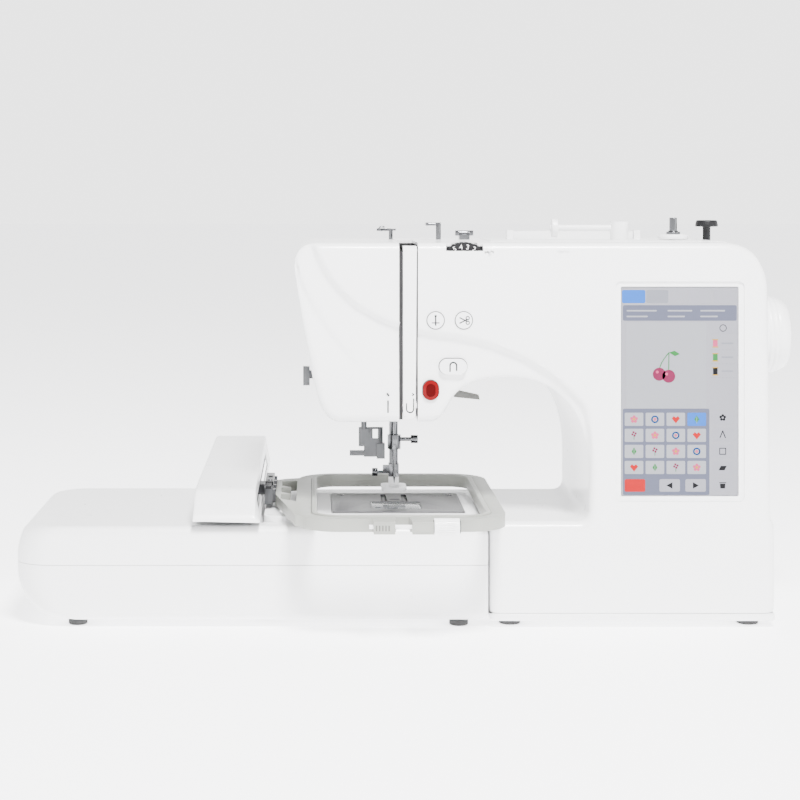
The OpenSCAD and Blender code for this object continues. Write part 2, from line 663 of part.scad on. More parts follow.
place() {
    base_cover();
    front_cover();
    rear_cover();
    top_cover();
    face_cover();
    bed_cover();
    needle_plate();
    bobbin_case();
    bezel();
    screen();
    inner_frame();
    circuit_board();
    drive_motor();
    sockets();
    feet();
    screws();
    bushes();
    thread_guides();
    spool_pin();
    winder_stopper();
    unit_lower();
    unit_upper();
    x_rails();
    stepper_motor();
    thread_channel();
    drive_belts();
    main_shaft();
    handwheel();
    lower_shaft();
    hook();
    motor_pulley();
    needle_bar();
    needle_clamp();
    needle();
    presser_bar();
    presser_foot();
    foot_screw();
    presser_lever();
    threader();
    take_up_lever();
    tension_dial();
    winder_seat();
    winder_spindle();
    spool_cap();
    carry_handle();
    bobbin_cover();
    bobbin();
    feed_dogs();
    button_needle();
    button_cutter();
    button_reverse();
    button_start();
    power_switch();
    arm_cover();
    arm_frame();
    clip_carriage();
    clip_lever();
    hoop_outer();
    hoop_inner();
    hoop_knob();
}
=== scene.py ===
"""The look of a sewing and embroidery machine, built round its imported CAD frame.

Shapes are drawn in the design's own millimetres: x from the needle axis, y back from the front of the
body and z up from the table. origin moves them into the frame.
"""
import json
import math

import bmesh
import bpy
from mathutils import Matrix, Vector, geometry


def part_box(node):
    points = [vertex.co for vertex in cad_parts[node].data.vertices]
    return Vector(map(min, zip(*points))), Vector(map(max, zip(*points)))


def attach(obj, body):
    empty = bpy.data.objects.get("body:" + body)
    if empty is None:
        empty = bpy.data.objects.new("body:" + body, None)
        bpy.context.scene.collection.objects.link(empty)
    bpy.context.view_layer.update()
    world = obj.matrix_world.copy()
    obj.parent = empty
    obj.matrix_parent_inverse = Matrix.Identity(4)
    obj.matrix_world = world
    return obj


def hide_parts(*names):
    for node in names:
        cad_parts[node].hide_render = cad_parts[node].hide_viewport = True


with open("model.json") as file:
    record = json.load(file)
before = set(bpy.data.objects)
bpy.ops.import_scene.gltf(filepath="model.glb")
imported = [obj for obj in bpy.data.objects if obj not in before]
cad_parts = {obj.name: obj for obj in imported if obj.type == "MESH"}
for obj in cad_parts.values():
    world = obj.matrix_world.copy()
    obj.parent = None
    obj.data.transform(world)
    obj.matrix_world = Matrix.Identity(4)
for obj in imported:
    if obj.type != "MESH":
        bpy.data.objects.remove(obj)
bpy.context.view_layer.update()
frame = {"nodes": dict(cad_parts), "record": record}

MM = 0.001
NEEDLE_DEPTH = 100
needle_low, needle_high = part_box("needle")
origin = (needle_low + needle_high) / 2 - Vector((0, NEEDLE_DEPTH * MM, 0))
origin.z = 0


# ---- camera, light and floor -------------------------------------------------------------------------
def world_point(x, y, z):
    """A point of the design, in millimetres, as a place in the frame, in metres."""
    return origin + Vector((x, y, z)) * MM


def make_camera():
    """Level, in front of the head and above the arm, with a long lens and some shift, as in a studio."""
    data = bpy.data.cameras.new("camera")
    data.lens = 86.2
    data.sensor_width = 36
    data.shift_x = 0.106
    data.shift_y = -0.255
    camera = bpy.data.objects.new("camera", data)
    camera.location = world_point(-61.8, -1400, 315.8)
    camera.rotation_euler = (math.radians(90), 0, 0)
    bpy.context.scene.collection.objects.link(camera)
    bpy.context.scene.camera = camera


def area_light(name, at, aim, size, power):
    """A rectangular lamp that points at a place."""
    data = bpy.data.lights.new(name, "AREA")
    data.shape = "RECTANGLE"
    data.size, data.size_y = size
    data.energy = power
    light = bpy.data.objects.new(name, data)
    light.location = at
    light.rotation_euler = (Vector(aim) - Vector(at)).to_track_quat("-Z", "Y").to_euler()
    bpy.context.scene.collection.objects.link(light)


def make_studio():
    """A bright room, brightest near the horizon, with three lamps and a white floor."""
    world = bpy.data.worlds.new("studio")
    world.use_nodes = True
    tree = world.node_tree
    sky = tree.nodes["Background"]
    sky.inputs["Color"].default_value = (1, 1, 1, 1)
    where = tree.nodes.new("ShaderNodeTexCoord")
    height = tree.nodes.new("ShaderNodeSeparateXYZ")
    fade = tree.nodes.new("ShaderNodeMapRange")
    fade.inputs["From Min"].default_value = 0.12
    fade.inputs["From Max"].default_value = 0.6
    fade.inputs["To Min"].default_value = 3.2
    fade.inputs["To Max"].default_value = 0.45
    tree.links.new(where.outputs["Generated"], height.inputs["Vector"])
    tree.links.new(height.outputs["Z"], fade.inputs["Value"])
    tree.links.new(fade.outputs["Result"], sky.inputs["Strength"])
    bpy.context.scene.world = world
    area_light("top_light", (-0.3, 0.3, 1.6), (0, 0, 0.1), (1.2, 1.0), 5)
    area_light("front_light", (0.25, -1.3, 2.1), (0, 0, 0.15), (0.6, 0.6), 210)
    area_light("side_light", (1.5, -0.9, 0.5), (0, 0, 0.15), (0.8, 1.0), 6)
    bpy.ops.mesh.primitive_plane_add(size=24, location=(0, 8.0, 0))
    floor = bpy.context.object
    floor.name = "floor"
    paper = finish("floor", (0.93, 0.93, 0.94), 0.8, grain=300, depth=0.02, emit=2.4, gloss=0.1)
    floor.data.materials.append(paper)


# ---- materials ---------------------------------------------------------------------------------------
def finish(name, color, rough, metal=0.0, coat=0.0, grain=900, depth=0.05, tint=0.03,
           stretch=(1, 1, 1), emit=0.0, clear=0.0, spread=0.06, gloss=0.5):
    """A surface whose grain, roughness and colour all vary a little, as a moulded or machined one does."""
    material = bpy.data.materials.new(name)
    material.use_nodes = True
    tree = material.node_tree
    shader = tree.nodes["Principled BSDF"]
    shader.inputs["Metallic"].default_value = metal
    shader.inputs["Specular IOR Level"].default_value = gloss
    shader.inputs["Coat Weight"].default_value = coat
    shader.inputs["Coat Roughness"].default_value = 0.08
    shader.inputs["Transmission Weight"].default_value = clear
    if clear:
        shader.inputs["IOR"].default_value = 1.45
    if emit:
        shader.inputs["Emission Color"].default_value = (*color, 1)
        shader.inputs["Emission Strength"].default_value = emit
    where = tree.nodes.new("ShaderNodeTexCoord")
    mapping = tree.nodes.new("ShaderNodeMapping")
    mapping.inputs["Scale"].default_value = stretch
    tree.links.new(where.outputs["Object"], mapping.inputs["Vector"])

    def noise(scale, detail):
        node = tree.nodes.new("ShaderNodeTexNoise")
        node.inputs["Scale"].default_value = scale
        node.inputs["Detail"].default_value = detail
        tree.links.new(mapping.outputs["Vector"], node.inputs["Vector"])
        return node.outputs["Fac"]

    bump = tree.nodes.new("ShaderNodeBump")
    bump.inputs["Strength"].default_value = depth
    bump.inputs["Distance"].default_value = 0.0003
    tree.links.new(noise(grain, 3), bump.inputs["Height"])
    tree.links.new(bump.outputs["Normal"], shader.inputs["Normal"])
    roughness = tree.nodes.new("ShaderNodeMapRange")
    roughness.inputs["To Min"].default_value = max(0.02, rough - spread)
    roughness.inputs["To Max"].default_value = rough + spread
    tree.links.new(noise(grain / 14, 4), roughness.inputs["Value"])
    tree.links.new(roughness.outputs["Result"], shader.inputs["Roughness"])
    mix = tree.nodes.new("ShaderNodeMix")
    mix.data_type = "RGBA"
    mix.inputs["A"].default_value = (*[c * (1 - tint) for c in color], 1)
    mix.inputs["B"].default_value = (*color, 1)
    tree.links.new(noise(grain / 40, 2), mix.inputs["Factor"])
    tree.links.new(mix.outputs["Result"], shader.inputs["Base Color"])
    return material


MATERIALS = {
    "case_white": finish("case_white", (0.88, 0.88, 0.885), 0.3, coat=0.25, grain=1400, depth=0.03),
    "hoop_grey": finish("hoop_grey", (0.27, 0.275, 0.25), 0.42, grain=1600, depth=0.12),
    "plate_metal": finish("plate_metal", (0.17, 0.17, 0.176), 0.34, metal=0.85, grain=500, depth=0.15,
                          stretch=(1, 14, 1), tint=0.12),
    "plated_steel": finish("plated_steel", (0.14, 0.143, 0.15), 0.16, metal=1, grain=700, depth=0.05,
                           tint=0.08),
    "machined_steel": finish("machined_steel", (0.09, 0.092, 0.096), 0.34, metal=0.9, grain=600, depth=0.2,
                             stretch=(6, 1, 1), tint=0.15),
    "cast_alloy": finish("cast_alloy", (0.5, 0.51, 0.52), 0.55, metal=0.8, grain=500, depth=0.5, tint=0.12),
    "black_plastic": finish("black_plastic", (0.009, 0.009, 0.01), 0.42, grain=1500, depth=0.2, tint=0.25,
                            gloss=0.2),
    "clear_plastic": finish("clear_plastic", (0.86, 0.89, 0.92), 0.1, clear=0.85, grain=900, depth=0.03),
    "screen_glass": finish("screen_glass", (0.2, 0.2, 0.222), 0.2, coat=0.05, grain=500, depth=0.01,
                           gloss=0.15),
    "bezel_white": finish("bezel_white", (0.9, 0.9, 0.905), 0.28, coat=0.2, grain=1400, depth=0.03),
    "start_red": finish("start_red", (0.12, 0.0008, 0.002), 0.14, coat=0.05, grain=700, depth=0.08, emit=0.3,
                        gloss=0.08),
    "lens_red": finish("lens_red", (0.05, 0.0004, 0.0008), 0.2, grain=700, depth=0.08, emit=0.12,
                       gloss=0.05),
    "button_white": finish("button_white", (0.86, 0.86, 0.87), 0.4, grain=1500, depth=0.1),
    "board_green": finish("board_green", (0.02, 0.16, 0.07), 0.35, coat=0.3, grain=600, depth=0.1, tint=0.2),
    "rubber_grey": finish("rubber_grey", (0.03, 0.03, 0.03), 0.75, grain=1200, depth=0.4, tint=0.2),
    "belt_black": finish("belt_black", (0.02, 0.02, 0.02), 0.7, grain=900, depth=0.5, tint=0.2),
    "bronze": finish("bronze", (0.55, 0.36, 0.16), 0.35, metal=1, grain=700, depth=0.2, tint=0.15),
    "lever_grey": finish("lever_grey", (0.11, 0.11, 0.1), 0.4, grain=1200, depth=0.15),
    "gap_dark": finish("gap_dark", (0.008, 0.007, 0.008), 0.6, grain=800, depth=0.2, tint=0.2),
    "print_and_gap_shade_grey": finish("print_and_gap_shade_grey", (0.02, 0.02, 0.022), 0.5, grain=900, depth=0.05),
}


# ---- mesh helpers ------------------------------------------------------------------------------------
def curve(a, b, c, d, n=10):
    """Points along a cubic curve from a to d, without d itself."""
    out = []
    for i in range(n):
        t = i / n
        w = ((1 - t) ** 3, 3 * (1 - t) ** 2 * t, 3 * (1 - t) * t * t, t ** 3)
        out.append(tuple(sum(k * p[j] for k, p in zip(w, (a, b, c, d))) for j in (0, 1)))
    return out


def rounded(x0, y0, x1, y1, r, n=8):
    """A rectangle with round corners, counterclockwise."""
    corners = ((x1 - r, y1 - r, 0), (x0 + r, y1 - r, 90), (x0 + r, y0 + r, 180), (x1 - r, y0 + r, 270))
    turns = [(cx, cy, math.radians(a + 90 * i / n)) for cx, cy, a in corners for i in range(n + 1)]
    return [(cx + r * math.cos(t), cy + r * math.sin(t)) for cx, cy, t in turns]


def disc(cx, cy, r, n=32):
    turns = [2 * math.pi * i / n for i in range(n)]
    return [(cx + r * math.cos(t), cy + r * math.sin(t)) for t in turns]


def piece(name, verts, faces, material, body, replaces=(), bevel=0, segments=3, angle=35):
    """Makes a piece from millimetre points and says what it rides on and stands for."""
    mesh = bpy.data.meshes.new(name)
    mesh.from_pydata([world_point(*v) for v in verts], [], faces)
    return settle(name, mesh, material, body, replaces, bevel, segments, True, angle)


def settle(name, mesh, material, body, replaces=(), bevel=0, segments=0, soft=False, angle=30):
    """Cleans a mesh, rounds its edges and makes it a piece. soft shades its faces as one surface."""
    b = bmesh.new()
    b.from_mesh(mesh)
    bmesh.ops.remove_doubles(b, verts=b.verts, dist=1e-6)
    bmesh.ops.recalc_face_normals(b, faces=b.faces)
    b.to_mesh(mesh)
    b.free()
    for polygon in mesh.polygons:
        polygon.use_smooth = soft
    obj = bpy.data.objects.new(name, mesh)
    bpy.context.scene.collection.objects.link(obj)
    if bevel:
        edges = obj.modifiers.new("bevel", "BEVEL")
        edges.width = bevel * MM
        edges.segments = segments
        edges.limit_method = "ANGLE"
        edges.angle_limit = math.radians(angle)
        edges.harden_normals = True
    mesh.materials.append(MATERIALS[material])
    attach(obj, body)
    if replaces:
        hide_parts(*replaces)
    return obj


BODY_OF = {n: b for b, nodes in frame["record"]["behaviour"]["bodies"].items() for n in nodes}
SLOT_OF = {s["node"]: s["material_slot"] for s in frame["record"]["subparts"]}


def soften(node, bevel, segments=3, angle=30):
    """A copy of a CAD node with its edges rounded, which stands for it."""
    mesh = frame["nodes"][node].data.copy()
    mesh.materials.clear()
    b = bmesh.new()
    b.from_mesh(mesh)
    bmesh.ops.remove_doubles(b, verts=b.verts, dist=2e-6)
    bmesh.ops.dissolve_limit(b, angle_limit=math.radians(0.6), verts=b.verts, edges=b.edges)
    b.to_mesh(mesh)
    b.free()
    return settle(node + "_soft", mesh, SLOT_OF[node], BODY_OF[node], (node,), bevel, segments, True, angle)


def prism(name, outline, at, axis, thick, material, body, bevel=0.0):
    """A flat plate: an outline drawn in two axes, from a depth at along the third, thick millimetres on."""
    n = len(outline)
    edges = [(i, (i + 1) % n) for i in range(n)]
    flat, _, faces, *_ = geometry.delaunay_2d_cdt([Vector(p) for p in outline], edges, [], 0, 1e-5)
    faces = [f for f in faces if inside(centre(flat, f), outline)]
    spots = {
        "x": lambda p, d: (d, p[0], p[1]),
        "y": lambda p, d: (p[0], d, p[1]),
        "z": lambda p, d: (p[0], p[1], d),
    }
    spot = spots[axis]
    n = len(flat)
    verts = [spot(p, at) for p in flat] + [spot(p, at + thick) for p in flat]
    out = [tuple(f) for f in faces] + [tuple(v + n for v in reversed(f)) for f in faces]
    sides = {(f[i], f[(i + 1) % len(f)]): True for f in faces for i in range(len(f))}
    out += [(c, a, a + n, c + n) for a, c in sides if (c, a) not in sides]
    obj = piece(name, verts, out, material, body, (), bevel)
    b = bmesh.new()
    b.from_mesh(obj.data)
    bmesh.ops.dissolve_limit(b, angle_limit=math.radians(0.5), verts=b.verts, edges=b.edges)
    b.to_mesh(obj.data)
    b.free()
    for polygon in obj.data.polygons:
        polygon.use_smooth = True
    return obj


def centre(points, face):
    """The middle of a flat face, given by its points' numbers."""
    return sum((Vector(points[i]) for i in face), Vector((0, 0))) / len(face)


def inside(p, loop):
    """Whether a point lies inside a closed outline."""
    hit = False
    for i, (x0, y0) in enumerate(loop):
        x1, y1 = loop[i - 1]
        if (y0 > p[1]) != (y1 > p[1]) and p[0] < (x1 - x0) * (p[1] - y0) / (y1 - y0) + x0:
            hit = not hit
    return hit


def lathe(name, profile, at, axis, material, body, replaces=(), turns=64):
    """Turns (radius, height) points round an axis that starts at a point."""
    verts, faces = [], []
    n = len(profile)
    for k in range(turns):
        t = 2 * math.pi * k / turns
        for r, h in profile:
            a, c = r * math.cos(t), r * math.sin(t)
            verts.append({"x": (at[0] + h, at[1] + a, at[2] + c), "y": (at[0] + a, at[1] + h, at[2] + c),
                          "z": (at[0] + a, at[1] + c, at[2] + h)}[axis])
    for k in range(turns):
        for i in range(n - 1):
            j = (k + 1) % turns
            faces.append((k * n + i, j * n + i, j * n + i + 1, k * n + i + 1))
    return piece(name, verts, faces, material, body, replaces)


def tube(name, path, radius, material, body, sides=12):
    """A round wire along a path, with closed ends."""
    points = [Vector(p) for p in path]
    verts, faces = [], []
    side = None
    for i, p in enumerate(points):
        ahead = (points[min(i + 1, len(points) - 1)] - points[max(i - 1, 0)]).normalized()
        side = (side or ahead.orthogonal()) - ahead * (side or ahead.orthogonal()).dot(ahead)
        side.normalize()
        other = ahead.cross(side)
        for k in range(sides):
            t = 2 * math.pi * k / sides
            verts.append(p + radius * (math.cos(t) * side + math.sin(t) * other))
    for i in range(len(points) - 1):
        for k in range(sides):
            j = (k + 1) % sides
            faces.append((i * sides + k, i * sides + j, (i + 1) * sides + j, (i + 1) * sides + k))
    faces += [tuple(range(sides)), tuple(range((len(points) - 1) * sides, len(points) * sides))]
    return piece(name, verts, faces, material, body, bevel=radius * 0.3, segments=2, angle=60)


# ---- white covers ------------------------------------------------------------------------------------
def edge_of(node, axis, end):
    """Where a CAD node ends along an axis, in the design's millimetres."""
    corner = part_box(node)[end]
    return round((corner[axis] - origin[axis]) / MM, 3)


LOW, HIGH = 0, 1
SEAM = edge_of("front_cover", 1, HIGH)
BACK = edge_of("rear_cover", 1, HIGH)
ARM_TOP = edge_of("face_cover", 2, HIGH)
HEAD_LOW = edge_of("face_cover", 2, LOW)
BASE_RIGHT = edge_of("front_cover", 0, HIGH)
TRAY_TOP = edge_of("bed_cover", 2, LOW)
FOOT = edge_of("base_cover", 2, LOW)
BED_TOP = edge_of("bed_cover", 2, HIGH)
UNIT_LEFT = edge_of("unit_lower", 0, LOW)
UNIT_RIGHT = edge_of("unit_lower", 0, HIGH)
BASE_LEFT = UNIT_RIGHT + 1
UNIT_BACK = edge_of("unit_lower", 1, HIGH)
UNIT_SPLIT = edge_of("unit_lower", 2, HIGH)
UNIT_TOP = edge_of("unit_upper", 2, HIGH)
ARM_BACK = edge_of("arm_cover", 1, HIGH)
ARM_LOW = edge_of("arm_cover", 2, LOW)
ARM_HIGH = edge_of("arm_cover", 2, HIGH)
COLUMN_LEFT = 139
COLUMN_RIGHT = 272
# The two thread slots lie between the head's end cover, the strip and the front shell.
SLOT_EDGE = -0.45
CHANNEL_LEFT = 2.45
CHANNEL_RIGHT = 12.6
FRONT_LEFT = 13.4
# Radius of the covers' outer edges, and the round corners of the base
EDGE = 6.5
BASE_ROUND_RIGHT = 11
BASE_ROUND_LEFT = 8
RIDGE = curve((-72, 258), (-62, 232), (-44, 208), (-18, 182), 16)
CREASE = (curve((-62, 283), (-54, 256), (-30, 222), (35, 215.5), 26)
          + curve((35, 215.5), (80, 210), (112, 192), (136, 163), 20)
          + curve((136, 163), (144, 148), (141, 120), (141, 96), 10))


def resample(loop, step):
    """The same closed outline with points no more than step apart."""
    out = []
    for i, a in enumerate(loop):
        b = loop[(i + 1) % len(loop)]
        n = max(1, math.ceil(math.dist(a, b) / step))
        out += [(a[0] + (b[0] - a[0]) * k / n, a[1] + (b[1] - a[1]) * k / n) for k in range(n)]
    return [p for i, p in enumerate(out) if math.dist(p, out[i - 1]) > 0.05]


def arc(cx, cy, r, start, end, n=6):
    """Points round part of a circle, from one angle to another in degrees."""
    turns = [math.radians(start + (end - start) * i / n) for i in range(n + 1)]
    return [(cx + r * math.cos(t), cy + r * math.sin(t)) for t in turns]


def body_loop():
    """Outline of head, arm, column and base from the front, clockwise from the throat's lower corner."""
    top = ARM_TOP
    points = [(COLUMN_LEFT, 86)]
    points += curve((COLUMN_LEFT, 112), (COLUMN_LEFT, 155), (118, 183), (80, 183), 14)
    points += curve((80, 183), (60, 183), (46, 178), (39, 168), 8)
    points += curve((39, 168), (34, 160), (32, HEAD_LOW), (20, HEAD_LOW), 8)
    points += curve((-43, HEAD_LOW), (-56, HEAD_LOW + 1), (-60, 164), (-63.5, 182), 10)
    points += curve((-63.5, 182), (-68, 205), (-73, 235), (-76.6, 260), 8)
    points += curve((-76.6, 260), (-78.5, 274), (-74, top), (-56, top), 12)
    points += curve((236, top), (258, top), (268.5, 270), (COLUMN_RIGHT - 1.5, 244), 14)
    points.append((COLUMN_RIGHT, 84))
    points += curve((COLUMN_RIGHT, 82), (COLUMN_RIGHT, 77), (BASE_RIGHT, 78), (BASE_RIGHT, 70), 6)
    points += arc(BASE_RIGHT - BASE_ROUND_RIGHT, FOOT + BASE_ROUND_RIGHT, BASE_ROUND_RIGHT, 0, -90)
    points += arc(BASE_LEFT + BASE_ROUND_LEFT, FOOT + BASE_ROUND_LEFT, BASE_ROUND_LEFT, -90, -180)
    points += arc(BASE_LEFT + BASE_ROUND_LEFT, BED_TOP - BASE_ROUND_LEFT, BASE_ROUND_LEFT, 180, 90)
    points += curve((COLUMN_LEFT - 9, BED_TOP), (COLUMN_LEFT - 3, BED_TOP), (COLUMN_LEFT, BED_TOP + 3),
                    (COLUMN_LEFT, BED_TOP + 8), 5)
    return resample(points, 3)


def inward(loop, distance):
    """The outline moved in by a distance. The loop runs clockwise."""
    out = []
    for i, p in enumerate(loop):
        a, b = loop[i - 1], loop[(i + 1) % len(loop)]
        along = Vector((b[0] - a[0], b[1] - a[1])).normalized()
        out.append((p[0] + distance * along.y, p[1] - distance * along.x))
    return out


def clockwise(loop):
    """The same outline, turned round if it runs counterclockwise."""
    area = sum(a[0] * b[1] - b[0] * a[1] for a, b in zip(loop, loop[1:] + loop[:1]))
    return loop if area < 0 else loop[::-1]


def smooth(t):
    """A soft step from 0 to 1."""
    t = min(1, max(0, t))
    return t * t * (3 - 2 * t)


def below(line, x, z):
    """How far a place lies below a line that runs to the right, or 0 above it."""
    best, side = 1e9, 0
    for a, b in zip(line, line[1:]):
        dx, dz = b[0] - a[0], b[1] - a[1]
        t = min(1, max(0, ((x - a[0]) * dx + (z - a[1]) * dz) / (dx * dx + dz * dz)))
        gap = math.hypot(x - a[0] - t * dx, z - a[1] - t * dz)
        if gap < best:
            best, side = gap, dx * (z - a[1]) - dz * (x - a[0])
    return 0 if side > 0 else best


def swoosh(x, z):
    """How far the front is hollowed at a place: steps below the crease and the ridge that fade out."""
    deep = below(CREASE, x, z)
    low = below(RIDGE, x, z)
    step = 4.2 * smooth(deep / 4.5) * (1 - smooth((deep - 6) / 60)) * smooth((z - 88) / 50)
    return step + 2.4 * smooth(low / 4) * (1 - smooth((low - 4) / 30)) * smooth((z - 180) / 30)


def body_shell(name, front, holes=()):
    """Front or rear half of the body's skin, with soft edges and the holes in its face."""
    loop = clockwise(body_loop())
    steps = 7
    turns = [math.pi / 2 * k / steps for k in range(steps + 1)]
    profile = [(EDGE * (1 - math.cos(t)), EDGE * (1 - math.sin(t))) for t in turns]
    face_at, seam = (0, SEAM) if front else (BACK, SEAM + 0.3)
    sign = 1 if front else -1
    rings = [(0, seam)] + [(0, face_at + sign * d) for d in (70, 50, 30, 15)]
    rings += [(inset, face_at + sign * d) for inset, d in profile]
    verts, faces = [], []
    n = len(loop)
    for inset, y in rings:
        near = max(0, 1 - abs(y - face_at) / EDGE)
        for x, z in inward(loop, inset):
            verts.append((x, y + (near * swoosh(x, z) if front else 0), z))
    for k in range(len(rings) - 1):
        for i in range(n):
            j = (i + 1) % n
            faces.append((k * n + i, k * n + j, (k + 1) * n + j, (k + 1) * n + i))
    rim = inward(loop, rings[-1][0])
    flat, loops = list(rim), [list(range(n))]
    for hole in holes:
        loops.append(list(range(len(flat), len(flat) + len(hole))))
        flat += hole
    step = 2.6 if front else 12
    x0, z0 = min(p[0] for p in rim), min(p[1] for p in rim)
    for i in range(int((BASE_RIGHT - x0) / step) + 1):
        for j in range(int((ARM_TOP - z0) / step) + 1):
            p = (x0 + i * step + 1.1, z0 + (j + 0.5 * (i % 2)) * step + 1.3)
            if not inside(p, rim) or min(math.dist(p, q) for q in rim) <= step * 0.55:
                continue
            if not any(inside(p, h) or min(math.dist(p, q) for q in h) < step * 0.4 for h in holes):
                flat.append(p)
    edges = [(l[i], l[(i + 1) % len(l)]) for l in loops for i in range(len(l))]
    points, _, cells, *_ = geometry.delaunay_2d_cdt([Vector(p) for p in flat], edges, [], 0, 1e-5)
    start = len(verts)
    verts += [(p[0], face_at + (swoosh(*p) if front else 0), p[1]) for p in points]
    for cell in cells:
        middle = centre(points, cell)
        if inside(middle, rim) and not any(inside(middle, h) for h in holes):
            faces.append(tuple(start + i for i in cell))
    mesh = bpy.data.meshes.new(name)
    mesh.from_pydata([world_point(*v) for v in verts], [], faces)
    b = bmesh.new()
    b.from_mesh(mesh)
    bmesh.ops.remove_doubles(b, verts=b.verts, dist=2e-5)
    bmesh.ops.recalc_face_normals(b, faces=b.faces)
    out = sum((f.normal.y for f in b.faces if abs(f.normal.y) > 0.9))
    if (out > 0) == front:
        bmesh.ops.reverse_faces(b, faces=b.faces)
    b.to_mesh(mesh)
    b.free()
    return mesh


def keep_part(mesh, planes):
    """The part of a mesh on the near side of each plane, given as (point in mm, outward direction)."""
    b = bmesh.new()
    b.from_mesh(mesh)
    for at, out in planes:
        bmesh.ops.bisect_plane(b, geom=b.verts[:] + b.edges[:] + b.faces[:], plane_co=world_point(*at),
                               plane_no=Vector(out), clear_outer=True, dist=1e-7)
    part = mesh.copy()
    b.to_mesh(part)
    b.free()
    return part


def box_bite(x0, x1, y0, y1, z0, z1):
    """The six planes and the corners of a box to take out of a skin."""
    low, high = (x0, y0, z0), (x1, y1, z1)
    planes = [(world_point(*low), Vector([-(k == axis) for k in range(3)])) for axis in range(3)]
    planes += [(world_point(*high), Vector([float(k == axis) for k in range(3)])) for axis in range(3)]
    return planes, world_point(*low), world_point(*high)


def round_bite(at, axis, r, depth, sides=28):
    """The same for a round hole that starts at a point and runs along an axis."""
    ways = {"x": (1, 2, 0), "y": (0, 2, 1)}[axis]
    start = world_point(*at)
    end = start.copy()
    end[ways[2]] += depth * MM
    planes = []
    for i in range(sides):
        turn = 2 * math.pi * i / sides
        out = Vector((0, 0, 0))
        out[ways[0]], out[ways[1]] = math.cos(turn), math.sin(turn)
        planes.append((start + out * r * MM, out))
    along = (end - start).normalized()
    planes += [(start, -along), (end, along)]
    reach = Vector((r * MM, r * MM, r * MM))
    return planes, start - reach, end + reach


def reaches(face, low, high):
    """Whether a face's box comes within a millimetre of another box."""
    return all(min(v.co[k] for v in face.verts) <= high[k] + MM
               and max(v.co[k] for v in face.verts) >= low[k] - MM for k in range(3))


def cut_skin(mesh, bites):
    """Takes each bite out of a skin with clean edges."""
    b = bmesh.new()
    b.from_mesh(mesh)
    for planes, low, high in bites:
        for at, out in planes:
            near = [f for f in b.faces if reaches(f, low, high)]
            geom = list({v for f in near for v in f.verts}) + list({e for f in near for e in f.edges}) + near
            bmesh.ops.bisect_plane(b, geom=geom, plane_co=at, plane_no=out, dist=1e-7)
        gone = [f for f in b.faces
                if all((f.calc_center_median() - at).dot(out) < 1e-8 for at, out in planes)]
        bmesh.ops.delete(b, geom=gone, context="FACES")
    b.to_mesh(mesh)
    b.free()
    return mesh


def thick_cover(name, mesh, node, wall=2.2, bites=()):
    """Cuts a skin, gives it its wall and lets it stand for a CAD cover."""
    mesh = cut_skin(mesh, bites)
    obj = bpy.data.objects.new(name, mesh)
    bpy.context.scene.collection.objects.link(obj)
    walls = obj.modifiers.new("wall", "SOLIDIFY")
    walls.thickness = wall * MM
    walls.offset = -1
    bpy.context.view_layer.update()
    made = bpy.data.meshes.new_from_object(obj.evaluated_get(bpy.context.evaluated_depsgraph_get()))
    bpy.data.objects.remove(obj)
    made.materials.clear()
    piece_made = settle(name, made, SLOT_OF[node], BODY_OF[node], (node,), soft=True)
    shade = piece_made.modifiers.new("shade", "WEIGHTED_NORMAL")
    shade.keep_sharp = True
    piece_made.data.set_sharp_from_angle(angle=math.radians(40))
    return piece_made


def face_centre(node):
    """The middle and the size of a CAD node's box, in the design's millimetres."""
    low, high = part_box(node)
    middle = ((low + high) / 2 - origin) / MM
    size = (high - low) / MM
    return middle, size


BUTTONS = ("button_needle", "button_cutter", "button_reverse", "button_start")


def button_holes(grow=0.35):
    """Outlines round the four buttons: two round ones and two long ones."""
    holes = []
    for node in BUTTONS[:2]:
        middle, size = face_centre(node)
        holes.append(disc(middle.x, middle.z, size.x / 2 + grow, 40))
    for node in BUTTONS[2:]:
        middle, size = face_centre(node)
        w, h = size.x / 2 + grow, size.z / 2 + grow
        round_end = min(w, h) - 0.01
        holes.append(rounded(middle.x - w, middle.z - h, middle.x + w, middle.z + h, round_end))
    return holes


